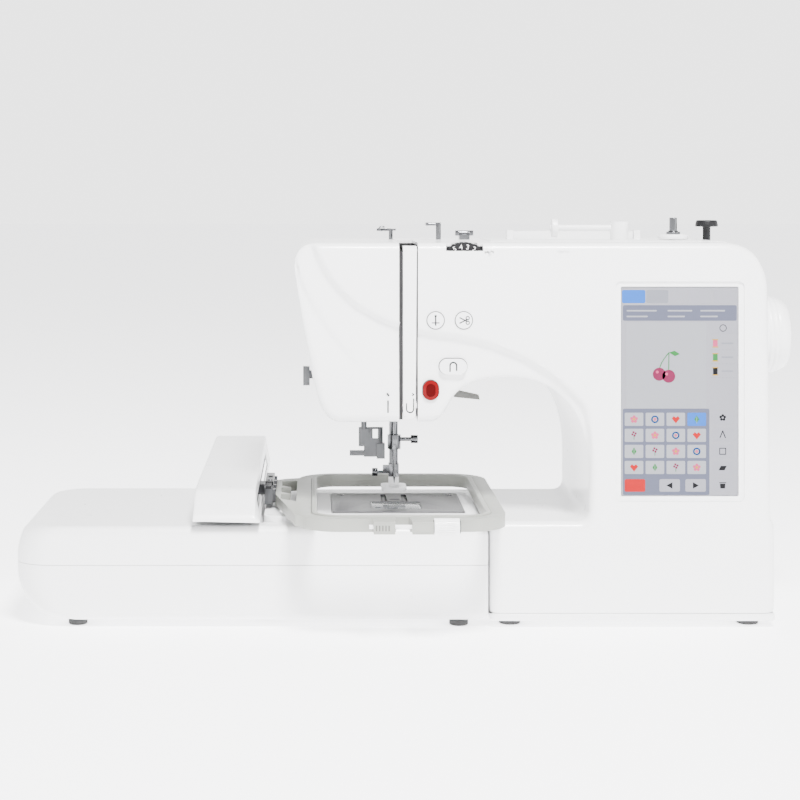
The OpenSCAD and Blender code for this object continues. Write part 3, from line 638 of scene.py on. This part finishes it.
def make_body():
    """The front and rear shells and the head's end cover, cut from one skin, and the flat covers."""
    screen_low, screen_high = ((v - origin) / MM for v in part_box("bezel"))
    window = rounded(screen_low.x, screen_low.z, screen_high.x, screen_high.z, 4)
    front = body_shell("front_skin", True, [resample(window, 6)] + button_holes())
    rear = body_shell("rear_skin", False)
    dial, dial_size = face_centre("tension_dial")
    wheel, _ = face_centre("handwheel")
    head_opening = box_bite(-46, 27, 76, 124, HEAD_LOW - 5, HEAD_LOW + 5)
    lid = box_bite(70, 262, 40, 140, ARM_TOP - 3, ARM_TOP + 5)
    arm_way = box_bite(BASE_LEFT - 5, BASE_LEFT + 4, 31, 152, TRAY_TOP - 2, 71)
    lever_slot = box_bite(18, 52, 119, 127.6, HEAD_LOW - 5, 181)
    wheel_hole = round_bite((COLUMN_RIGHT - 8, wheel.y, wheel.z), "x", 8, 12)
    vents = [box_bite(170 + 12 * i, 175 + 12 * i, BACK - 5, BACK + 3, 90, 125) for i in range(6)]
    above_tray = ((0, 0, TRAY_TOP), (0, 0, -1))
    front_part = keep_part(front, [((FRONT_LEFT, 0, 0), (-1, 0, 0)), above_tray])
    thick_cover("front_shell", front_part, "front_cover", bites=[
        head_opening, lid, arm_way, wheel_hole,
        box_bite(dial.x - 13.6, dial.x + 13.6, -3, 4, dial.z + 13.6, ARM_TOP + 5),
        round_bite((dial.x, 4, dial.z), "y", dial_size.x / 2 + 1.5, 16),
        box_bite(COLUMN_RIGHT - 8, BASE_RIGHT + 5, 18, 62, 30, 58)])
    thick_cover("rear_shell", keep_part(rear, [((0, 0, 0), (-1, 0, 0)), above_tray]), "rear_cover",
                bites=[head_opening, lid, arm_way, lever_slot, wheel_hole] + vents)
    face_planes = [((SLOT_EDGE, 0, 0), (1, 0, 0)), ((0, 0, HEAD_LOW - 2), (0, 0, -1))]
    b = bmesh.new()
    for skin in (front, rear):
        b.from_mesh(keep_part(skin, face_planes))
    bmesh.ops.remove_doubles(b, verts=b.verts, dist=0.0004)
    joined = bpy.data.meshes.new("face_skin")
    b.to_mesh(joined)
    b.free()
    threader_slot = box_bite(-90, -40, 55, 65, 152.5, 187)
    thick_cover("face_shell", joined, "face_cover", bites=[head_opening, threader_slot])
    soften("top_cover", 0.8)
    soften("base_cover", 1.5)
    soften("bed_cover", 2.0)
    soften("thread_channel", 0.8)


def unit_loop(inset):
    """The embroidery unit's plan, clockwise, with a bay for the free arm."""
    x0, x1, y1 = UNIT_LEFT + inset, UNIT_RIGHT - inset, UNIT_BACK - inset
    bay_x, bay_y = -101.5 - inset, 25 - inset
    front = inset
    loop = arc(x0 + 24, y1 - 24, 24, 180, 90, 8) + arc(bay_x - 3, y1 - 3, 3, 90, 0, 4)
    loop += [(bay_x, bay_y + 4)] + [(bay_x + 2, bay_y)] + arc(x1 - 2, bay_y - 2, 2, 90, 0, 4)
    loop += arc(x1 - 3, front + 3, 3, 0, -90, 4) + arc(x0 + 26, front + 26, 26, -90, -180, 10)
    return loop


def unit_skin(levels):
    """Rings of the unit's plan, as (height, inset) pairs, with its left end swept in towards the floor."""
    verts, faces = [], []
    rings = []
    for z, inset in levels:
        low = max(0, 1 - (z - FOOT) / 36)
        high = max(0, (z - 50) / (UNIT_TOP - 50))
        sweep = 27 * (1 - math.sqrt(max(0, 1 - low * low))) + 7 * high * high
        ring = []
        for x, y in unit_loop(inset):
            weight = smooth((UNIT_LEFT + 90 - x) / 90)
            ring.append((x + sweep * weight, y, z))
        rings.append(ring)
    n = len(rings[0])
    for ring in rings:
        verts += ring
    for k in range(len(rings) - 1):
        for i in range(n):
            j = (i + 1) % n
            faces.append((k * n + i, k * n + j, (k + 1) * n + j, (k + 1) * n + i))
    return verts, faces, n


def unit_case(name, node, levels, close_high):
    """One half of the embroidery unit's case, closed at its top or at its bottom."""
    verts, faces, n = unit_skin(levels)
    last = (len(levels) - 1) * n if close_high else 0
    faces.append(tuple(range(last, last + n)))
    mesh = bpy.data.meshes.new(name)
    mesh.from_pydata([world_point(*v) for v in verts], [], faces)
    b = bmesh.new()
    b.from_mesh(mesh)
    bmesh.ops.recalc_face_normals(b, faces=b.faces)
    outward = [f.normal.z for f in b.faces if len(f.verts) > 8]
    if (outward[0] > 0) != close_high:
        bmesh.ops.reverse_faces(b, faces=b.faces)
    b.to_mesh(mesh)
    b.free()
    return thick_cover(name, mesh, node, bites=[box_bite(-222, -108, UNIT_BACK - 8, UNIT_BACK + 3, 40, 60)])


def make_unit():
    """The embroidery unit: a lower and an upper case with a joint between them, on four feet."""
    r = EDGE
    turns = [math.pi / 2 * k / 6 for k in range(7)]
    bottom = [(FOOT + r * (1 - math.sin(t)), r * (1 - math.cos(t))) for t in reversed(turns)]
    climb = [FOOT + r + (UNIT_SPLIT - FOOT - r) * k / 7 for k in range(1, 8)]
    unit_case("unit_lower_shell", "unit_lower", bottom + [(z, 0) for z in climb], False)
    top = [(UNIT_TOP - r + r * math.sin(t), r * (1 - math.cos(t))) for t in turns]
    climb = [UNIT_SPLIT + 0.35 + (UNIT_TOP - r - UNIT_SPLIT) * k / 5 for k in range(5)]
    unit_case("unit_upper_shell", "unit_upper", [(z, 0) for z in climb] + top, True)
    pad = [(0, 0), (6.4, 0), (7, 0.6), (7, 6), (0, 6)]
    for i, (x, y) in enumerate(((-237, 16), (-237, 172), (-112, 172), (44, 13))):
        lathe(f"unit_foot_{i}", pad, (x, y, 0), "z", "rubber_grey", "machine")


def make_arm():
    """The embroidery arm's cover: one long hollow moulding whose front slopes down to the unit."""
    left = -151
    right_low = -102
    right_high = -105.5
    section = [(left, ARM_LOW)] + [(left, ARM_LOW + 4 * k) for k in range(1, 4)]
    section += curve((left, ARM_HIGH - 5), (left, ARM_HIGH), (left + 1, ARM_HIGH), (left + 5, ARM_HIGH), 6)
    section += [(left + 5 + (right_high - left - 10) * k / 6, ARM_HIGH) for k in range(6)]
    section += curve((right_high - 5, ARM_HIGH), (right_high - 1, ARM_HIGH), (right_high, ARM_HIGH),
                     (right_high, ARM_HIGH - 5), 6)
    slot_high = len(section) + 1
    drop = ARM_HIGH - 5 - ARM_LOW
    section += [(right_low - (right_low - right_high) * (z - ARM_LOW) / drop, z)
                for z in (ARM_HIGH - 5, 93, 88, 83, ARM_LOW)]
    stations = [(-5, 0.04), (-4.4, 0.12), (-2, 0.25), (3, 0.43), (8, 0.62), (12, 0.77), (14, 0.83)]
    stations += [(15.5, 0.88), (19, 0.935), (24, 0.96), (32, 0.972)]
    stations += [(40 + 222 * k / 6, 0.975 + 0.02 * k / 6) for k in range(7)]
    stations += [(290, 0.998), (ARM_BACK - 8, 1)]
    stations += [(ARM_BACK - 4, 0.985), (ARM_BACK - 1.5, 0.95), (ARM_BACK, 0.86)]
    verts, n = [], len(section)
    for y, rise in stations:
        verts += [(x, y, ARM_LOW + (z - ARM_LOW) * rise) for x, z in section]
    faces = []
    for k in range(len(stations) - 1):
        beside_slot = 14 <= stations[k][0] < 262
        for i in range(n - 1):
            if not (beside_slot and i in (slot_high, slot_high + 1)):
                faces.append((k * n + i, (k + 1) * n + i, (k + 1) * n + i + 1, k * n + i + 1))
    faces += [tuple(range(n)), tuple(range((len(stations) - 1) * n, len(stations) * n))]
    mesh = bpy.data.meshes.new("arm_skin")
    mesh.from_pydata([world_point(*v) for v in verts], [], faces)
    b = bmesh.new()
    b.from_mesh(mesh)
    bmesh.ops.recalc_face_normals(b, faces=b.faces)
    if sum(f.normal.z for f in b.faces) < 0:
        bmesh.ops.reverse_faces(b, faces=b.faces)
    b.to_mesh(mesh)
    b.free()
    thick_cover("arm_shell", mesh, "arm_cover", 1.2)


# ---- prints and small shapes -------------------------------------------------------------------------
def stroke(points, width):
    """Outlines that draw a line of straight pieces."""
    out = []
    for a, b in zip(points, points[1:]):
        along = Vector((b[0] - a[0], b[1] - a[1])).normalized() * width / 2
        side = Vector((-along.y, along.x))
        a, b = Vector(a) - along * 0.5, Vector(b) + along * 0.5
        out.append([tuple(p) for p in (a - side, b - side, b + side, a + side)])
    return out


def ring(cx, cz, r, width, n=20, start=0, end=360):
    """Outlines that draw a circle or part of one."""
    turns = [math.radians(start + (end - start) * i / n) for i in range(n + 1)]
    return stroke([(cx + r * math.cos(t), cz + r * math.sin(t)) for t in turns], width)


def petals(cx, cz, r, count=5):
    """Small discs round a point, as in a flower."""
    turns = [2 * math.pi * i / count + 0.3 for i in range(count)]
    return [disc(cx + r * math.cos(t), cz + r * math.sin(t), r * 0.62, 12) for t in turns]


def marks(name, outlines, face, material, body, proud=0.1):
    """Thin raised shapes on a surface that faces the front."""
    verts, faces = [], []
    for outline in outlines:
        n, start = len(outline), len(verts)
        verts += [(x, face - proud, z) for x, z in outline] + [(x, face, z) for x, z in outline]
        faces.append(tuple(range(start, start + n)))
        faces += [(start + i, start + n + i, start + n + (i + 1) % n, start + (i + 1) % n) for i in range(n)]
    mesh = bpy.data.meshes.new(name)
    mesh.from_pydata([world_point(*v) for v in verts], [], faces)
    return settle(name, mesh, material, body)


INKS = {
    "ink_blue": (0.015, 0.09, 0.36), "ink_grey": (0.15, 0.155, 0.18), "ink_panel": (0.075, 0.08, 0.115),
    "ink_light": (0.21, 0.215, 0.235), "ink_pale": (0.2, 0.2, 0.225), "ink_mauve": (0.12, 0.012, 0.04),
    "ink_green": (0.02, 0.12, 0.03), "ink_pink": (0.34, 0.05, 0.11), "ink_dark": (0.006, 0.006, 0.007),
    "ink_red": (0.28, 0.006, 0.008), "ink_gold": (0.3, 0.17, 0.02),
}
for ink, color in INKS.items():
    MATERIALS[ink] = finish(ink, color, 0.3, grain=700, depth=0.01, gloss=0.08)


def motif(kind, x, z, size):
    """A small generic embroidery design, as (ink, outlines) layers."""
    r = size / 2
    if kind == 0:
        return [("ink_pink", petals(x, z, r * 0.6)), ("ink_gold", [disc(x, z, r * 0.3, 12)])]
    if kind == 1:
        leaf = [(x, z - r), (x + r * 0.6, z), (x, z + r), (x - r * 0.6, z)]
        return [("ink_green", [leaf]), ("ink_pale", stroke([(x, z - r), (x, z + r * 0.6)], 0.3))]
    if kind == 2:
        return [("ink_blue", ring(x, z, r * 0.75, r * 0.35)), ("ink_pink", [disc(x, z, r * 0.35, 12)])]
    if kind == 3:
        return [("ink_green", stroke([(x, z - r), (x, z)], 0.5)),
                ("ink_mauve", petals(x, z + r * 0.35, r * 0.42, 4))]
    heart = [(x, z - r), (x + r, z + r * 0.2), (x + r * 0.5, z + r * 0.8), (x, z + r * 0.4),
             (x - r * 0.5, z + r * 0.8), (x - r, z + r * 0.2)]
    return [("ink_red", [heart])]


def make_screen():
    """The display: tabs, a canvas with a fruit design, thread rows, a grid of designs and side buttons."""
    left, top = edge_of("screen", 0, LOW), edge_of("screen", 2, HIGH)
    face = edge_of("screen", 1, LOW)
    layers = {}

    def add(depth, ink, outlines):
        layers.setdefault((depth, ink), []).extend(outlines)

    def tile(depth, ink, u, v, width, height, r=1.2):
        add(depth, ink, [rounded(left + u, top - v - height, left + u + width, top - v, r, 4)])

    tile(1, "ink_blue", 0.6, 2.2, 17.1, 9.6)
    tile(1, "ink_grey", 18.4, 2.2, 16.1, 9.6)
    for u in (49.8, 68.1):
        tile(1, "ink_pale", u, 2.2, 15.4, 9.6)
    tile(1, "ink_panel", 1.2, 13.3, 83.4, 11.4)
    for row, ends in enumerate(((4, 26), (34, 52), (58, 76))):
        for line in range(2):
            v = 16.8 + 4.2 * line
            tile(2, "ink_light", ends[0], v, (ends[1] - ends[0]) * (1 - 0.3 * line), 1.1, 0.4)
    canvas_w, canvas_h, canvas_v = 58.5, 62.9, 25.9
    tile(1, "ink_light", 3.8, canvas_v, canvas_w, canvas_h)
    fruit = [(left + 27.9, top - 63.8), (left + 34.8, top - 65.3)]
    tip = (left + 35, top - 48)
    for x, z in fruit:
        add(3, "ink_mauve", [disc(x, z, 4.8, 24)])
        add(4, "ink_pink", [disc(x - 1.5, z + 1.6, 1.1, 12)])
        bow = [(x + (tip[0] - x) * t, z + 4 + (tip[1] - z - 4) * t ** 0.7) for t in (0, 0.25, 0.5, 0.75, 1)]
        add(2, "ink_green", stroke(bow, 0.7))
    leaf = [tip, (tip[0] + 4, tip[1] + 1.4), (tip[0] + 8, tip[1] - 1), (tip[0] + 4.4, tip[1] - 2.6)]
    add(3, "ink_green", [leaf])
    tile(1, "ink_pale", 65, 25.9, 19.2, 8.2)
    add(2, "ink_dark", ring(left + 74.6, top - 30, 2.4, 0.5, 16))
    for row, ink in enumerate(("ink_pink", "ink_green", "ink_dark")):
        v = 41.2 + 10.2 * row
        tile(2, ink, 67.2, v - 2.4, 3.4, 4.8, 0.5)
        for cap in (-3, 2.4):
            tile(2, "ink_gold", 66.6, v + cap, 4.6, 0.7, 0.2)
        tile(2, "ink_grey", 73.4, v - 0.6, 8.6, 1.1, 0.4)
        for dash in range(7):
            tile(2, "ink_grey", 65.6 + 2.7 * dash, v + 4.6, 1.5, 0.35, 0.1)
    tile(1, "ink_panel", 1.2, 89, 63.4, 63.2)
    pitch_u, pitch_v, cell_w, cell_h = 15.3, 11.75, 13.6, 9.6
    for row in range(4):
        for column in range(4):
            u, v = 2.6 + pitch_u * column, 92 + pitch_v * row
            chosen = row == 0 and column == 3
            tile(2, "ink_blue" if chosen else "ink_light", u, v, cell_w, cell_h, 0.8)
            x, z = left + u + cell_w / 2, top - v - cell_h / 2
            for depth, (ink, outlines) in enumerate(motif((row * 3 + column * 2) % 5, x, z, 6)):
                add(3 + depth, ink, outlines)
    for u, ink in ((2.6, "ink_red"), (28, "ink_pale"), (47, "ink_pale")):
        tile(2, ink, u, 140.6, 15, 9.2)
    for x, way in ((left + 35.5, -1), (left + 54.5, 1)):
        z = top - 145.2
        add(3, "ink_dark", [[(x - 2 * way, z - 2.4), (x + 2.4 * way, z), (x - 2 * way, z + 2.4)]])
    for row in range(5):
        v = 91 + 12.3 * row
        x, z = left + 74.3, top - v - 4.6
        tile(1, "ink_pale", 66.6, v, 15.4, 9.2)
        half = 2.2
        square = [(x - half, z - half), (x + half, z - half), (x + half, z + half), (x - half, z + half)]
        bin_side = [(x - 1.8, z - 2.6), (x + 1.8, z - 2.6), (x + 2, z + 0.9), (x - 2, z + 0.9)]
        icon = [
            petals(x, z, 1.6),
            stroke([(x - 2, z - 2.4), (x, z + 2.6), (x + 2, z - 2.4)], 0.7),
            stroke(square + square[:1], 0.6),
            [[(x - 3, z - 1.6), (x + 1.4, z - 1.6), (x + 3, z + 1.6), (x - 1.4, z + 1.6)]],
            stroke([(x - 2.4, z + 1.6), (x + 2.4, z + 1.6)], 0.6) + [bin_side],
        ]
        add(2, "ink_dark", icon[row])
    for (depth, ink), outlines in layers.items():
        marks(f"display_{ink}_{depth}", outlines, face, ink, "machine", 0.03 * depth)


def make_icons():
    """Symbols on the round and oval buttons, and a dark ring in the gap round each button as painted shade.
    """
    for node in ("button_needle", "button_cutter", "button_reverse"):
        middle, _ = face_centre(node)
        x, z, face = middle.x, middle.z, edge_of(node, 1, LOW)
        shapes = {
            "button_needle": stroke([(x, z - 3.6), (x, z + 3.2)], 1.1) + [disc(x, z + 3.2, 0.9, 12)]
            + stroke([(x - 2.6, z - 1.8), (x + 2.6, z - 1.8)], 0.8),
            "button_cutter": stroke([(x + 2.6, z - 0.8), (x - 3, z + 2)], 0.9)
            + stroke([(x + 2.6, z + 0.8), (x - 3, z - 2)], 0.9)
            + ring(x + 2.8, z + 1.7, 1.2, 0.7, 14) + ring(x + 2.8, z - 1.7, 1.2, 0.7, 14),
            "button_reverse": ring(x, z + 0.8, 2.4, 1.1, 16, 0, 180)
            + stroke([(x + 2.4, z - 2.8), (x + 2.4, z + 0.8)], 1.1)
            + stroke([(x - 2.4, z - 3.4), (x - 2.4, z + 0.8)], 1.1),
        }[node]
        marks(node + "_icon", shapes, face, "print_and_gap_shade_grey", BODY_OF[node], 0.06)
    # A dark ring laid in the gap round each button and reaching into it: painted shade of the gap.
    for hole, node in zip(button_holes(0.25), BUTTONS):
        middle, _ = face_centre(node)
        depth = swoosh(middle.x, middle.z) + 0.8
        marks(node + "_gap_shade", stroke(hole + hole[:1], 0.6), depth, "print_and_gap_shade_grey", "machine", 1.2)


def make_dial_numbers():
    """White figures round the edge of the tension dial's face."""
    middle, _ = face_centre("tension_dial")
    face = edge_of("tension_dial", 1, LOW)
    MATERIALS["dial_print"] = finish("dial_print", (0.9, 0.9, 0.9), 0.5, grain=900, depth=0.05)
    reach = 16.4
    for figure in range(10):
        turn = math.radians(90 + 17 * (figure - 3.5))
        text = bpy.data.curves.new(f"figure_{figure}", "FONT")
        text.body = str(figure)
        text.size = 5 * MM
        text.align_x = "CENTER"
        text.align_y = "CENTER"
        text.extrude = 0.05 * MM
        source = bpy.data.objects.new(f"figure_{figure}", text)
        bpy.context.scene.collection.objects.link(source)
        bpy.context.view_layer.update()
        made = bpy.data.meshes.new_from_object(source.evaluated_get(bpy.context.evaluated_depsgraph_get()))
        bpy.data.objects.remove(source)
        lean = turn - math.pi / 2
        spot = world_point(middle.x + reach * math.cos(turn), face - 0.05, middle.z + reach * math.sin(turn))
        for v in made.vertices:
            x, z = v.co.x, v.co.y
            across = x * math.cos(lean) - z * math.sin(lean)
            up = x * math.sin(lean) + z * math.cos(lean)
            v.co = spot + Vector((across, -v.co.z, up))
        made.materials.clear()
        settle(f"dial_figure_{figure}", made, "dial_print", "tension_dial")


# How far each CAD piece's edges are rounded, in millimetres
SOFT = {
    "bezel": 0.9, "screen": 0.15, "hoop_outer": 1.3, "hoop_inner": 1.0, "clip_carriage": 0.7,
    "clip_lever": 0.6,
    "needle_plate": 0.25, "bobbin_cover": 0.25, "needle_clamp": 0.5, "presser_foot": 0.6, "presser_bar": 0.4,
    "foot_screw": 0.4, "presser_lever": 1.2, "threader": 0.5, "take_up_lever": 0.3, "winder_seat": 0.8,
    "winder_spindle": 0.4, "winder_stopper": 1.0, "spool_cap": 0.7, "spool_pin": 0.6, "thread_guides": 0.4,
    "carry_handle": 1.4, "button_needle": 0.7, "button_cutter": 0.7, "button_reverse": 0.8,
    "button_start": 0.9,
    "power_switch": 0.5, "sockets": 0.4, "feet": 0.9, "screws": 0.3, "hoop_knob": 0.3, "tension_dial": 0.5,
    "arm_frame": 0.4, "feed_dogs": 0.2, "needle_bar": 0.3, "inner_frame": 0.8, "drive_motor": 0.8,
    "x_rails": 0.3,
}


def make_small():
    """The CAD's small pieces with soft edges, and the handwheel with its grooves and dish."""
    for node, bevel in SOFT.items():
        soften(node, bevel)
    wheel, size = face_centre("handwheel")
    r = size.z / 2
    rim = [(0, 0), (r - 3, 0), (r - 1.2, 0.5), (r - 0.3, 1.8), (r, 4)]
    for groove in range(3):
        h = 6 + 4 * groove
        floor_r = r - 0.9 - 0.3 * groove
        rim += [(r - 0.3 * groove, h), (floor_r, h + 0.5), (floor_r, h + 1)]
        rim.append((r - 0.4 - 0.4 * groove, h + 1.5))
    rim += [(r - 3, 20), (r - 5, 23.4), (r - 8, 25), (r - 10, 24.6), (r - 11.5, 22.4)]
    rim += [(13.5, 22), (12, 25.4), (11.4, 26), (0, 26)]
    start = (edge_of("handwheel", 0, LOW), wheel.y, wheel.z)
    lathe("handwheel_turned", rim, start, "x", "case_white", "main_shaft", ("handwheel",), 96)


# ---- trim that the design leaves to the look -----------------------------------------------------------
def make_trim():
    """Dark strips inside the thread slots as painted shade, teeth of the hoop's clip, knob ends, ticks and
    stitch-plate slots.
    """
    # Dark strips set inside both thread slots: painted shade of the hollow, which is only in shadow.
    slots = (("left", SLOT_EDGE + 0.15, CHANNEL_LEFT - 0.15, 152),
             ("right", CHANNEL_RIGHT + 0.1, FRONT_LEFT - 0.05, 155))
    for name, x0, x1, z0 in slots:
        painted_shade_strip = [(x0, z0), (x1, z0), (x1, ARM_TOP - 6), (x0, ARM_TOP - 6)]
        prism(f"slot_painted_shade_{name}", painted_shade_strip, 3.4, "y", 1.5, "gap_dark", "machine", bevel=0.1)
    hook = ring(7.6, 160, 2.6, 0.9, 16, 180, 360) + stroke([(5, 160), (5, 164)], 0.9)
    hook += stroke([(10.2, 160), (10.2, 167.5)], 0.9)
    hook += stroke([(9.2, 171.4), (10.4, 170.6), (9.2, 169.8)], 0.7)
    marks("channel_marks", hook, 1, "print_and_gap_shade_grey", "machine", 0.06)
    bar_x = -8.6
    bar = stroke([(bar_x, 157.5), (bar_x, 166)], 1.1) + stroke([(-9.2, 171.4), (-8, 169.8)], 1.1)
    marks("face_marks", bar, swoosh(bar_x, 163) + 0.25, "print_and_gap_shade_grey", "machine", 0.5)
    knob, _ = face_centre("hoop_knob")
    washer = [(0, 0), (4.2, 0), (4.6, 0.3), (4.6, 0.7), (4.2, 0.9), (0, 0.9)]
    for i, x in enumerate((20.6, 39)):
        lathe(f"knob_end_{i}", washer, (x, knob.y, knob.z), "x", "black_plastic", "hoop_knob", turns=32)
    grip_r = 5.7
    for i in range(24):
        turn = math.radians(15 * i + 7.5)
        y, z = knob.y + grip_r * math.cos(turn), knob.z + grip_r * math.sin(turn)
        tube(f"knob_ridge_{i}", [(22.4, y, z), (38, y, z)], 0.3, "case_white", "hoop_knob", sides=8)
    hoop_top = edge_of("hoop_outer", 2, HIGH)
    ear_front = edge_of("hoop_outer", 1, LOW)
    for i, x in enumerate((-21, 6)):
        block = rounded(x + 1.5, hoop_top - 7.2, x + 13.5, hoop_top - 1.2, 0.8, 4)
        prism(f"ear_panel_{i}", block, ear_front - 0.25, "y", 0.5, "hoop_grey", "hoop_carriage", bevel=0.12)
    for i in range(5):
        rib = rounded(-19.6 + 2.2 * i, hoop_top - 6.2, -18.6 + 2.2 * i, hoop_top - 2.2, 0.3, 3)
        prism(f"ear_rib_{i}", rib, ear_front - 0.45, "y", 0.4, "lever_grey", "hoop_carriage", bevel=0.08)
    for i, y in enumerate((62, 73, 84, 95, 106, 117, 128)):
        tooth = rounded(y + 0.5, 84, y + 4.2, 91.5, 0.5, 4)
        kind = "black_plastic" if i % 2 else "plated_steel"
        prism(f"clip_tooth_{i}", tooth, -94.2, "x", 1.1, kind, "hoop_carriage", bevel=0.2)
    head = [(0, 94), (1.9, 94), (2.1, 94.2), (1.9, 94.7), (0.6, 94.8), (0, 94.5)]
    for i, y in enumerate((76, 96, 116)):
        lathe(f"clip_screw_{i}", head, (-97, y, 0), "z", "plated_steel", "hoop_carriage", turns=28)
    plate_top = edge_of("needle_plate", 2, HIGH)
    line_back = edge_of("needle_plate", 1, HIGH) - 12
    for i in range(13):
        length = 4 if i % 3 == 0 else 2.4
        x = 14 + 2.4 * i
        line = [(x - 0.12, line_back - length), (x + 0.12, line_back - length),
                (x + 0.12, line_back), (x - 0.12, line_back)]
        prism(f"plate_line_{i}", line, plate_top, "z", 0.05, "print_and_gap_shade_grey", "machine")
    button, button_size = face_centre("button_start")
    w, h = button_size.x / 2 - 2.4, button_size.z / 2 - 2.4
    lens = rounded(button.x - w, button.z - h, button.x + w, button.z + h, w - 0.01)
    lens_at = edge_of("button_start", 1, LOW) - 0.35
    prism("start_lens", lens, lens_at, "y", 0.6, "lens_red", "button_start", bevel=0.25)
    wire = [(-3, 90, 8), (-7, 90, 8.6), (-10.5, 89, 7.2), (-12.5, 87.6, 8.8), (-11, 87, 10.4), (-8, 88, 10)]
    wire = [(x, y, ARM_TOP + z) for x, y, z in wire]
    tube("guide_hook", wire, 0.6, "plated_steel", "machine", sides=10)
    collar = [(0, 0), (3.4, 0), (3.9, 0.5), (3.9, 1), (0, 1)]
    winder, _ = face_centre("winder_spindle")
    collar_at = (winder.x, winder.y, ARM_TOP + 6.1)
    lathe("winder_collar", collar, collar_at, "z", "plated_steel", "winder_spindle", turns=40)


make_camera()
make_studio()
make_body()
make_unit()
make_arm()
make_small()
make_trim()
make_screen()
make_icons()
make_dial_numbers()
for node, obj in frame["nodes"].items():
    obj.data.materials.clear()
    obj.data.materials.append(MATERIALS[SLOT_OF[node]])
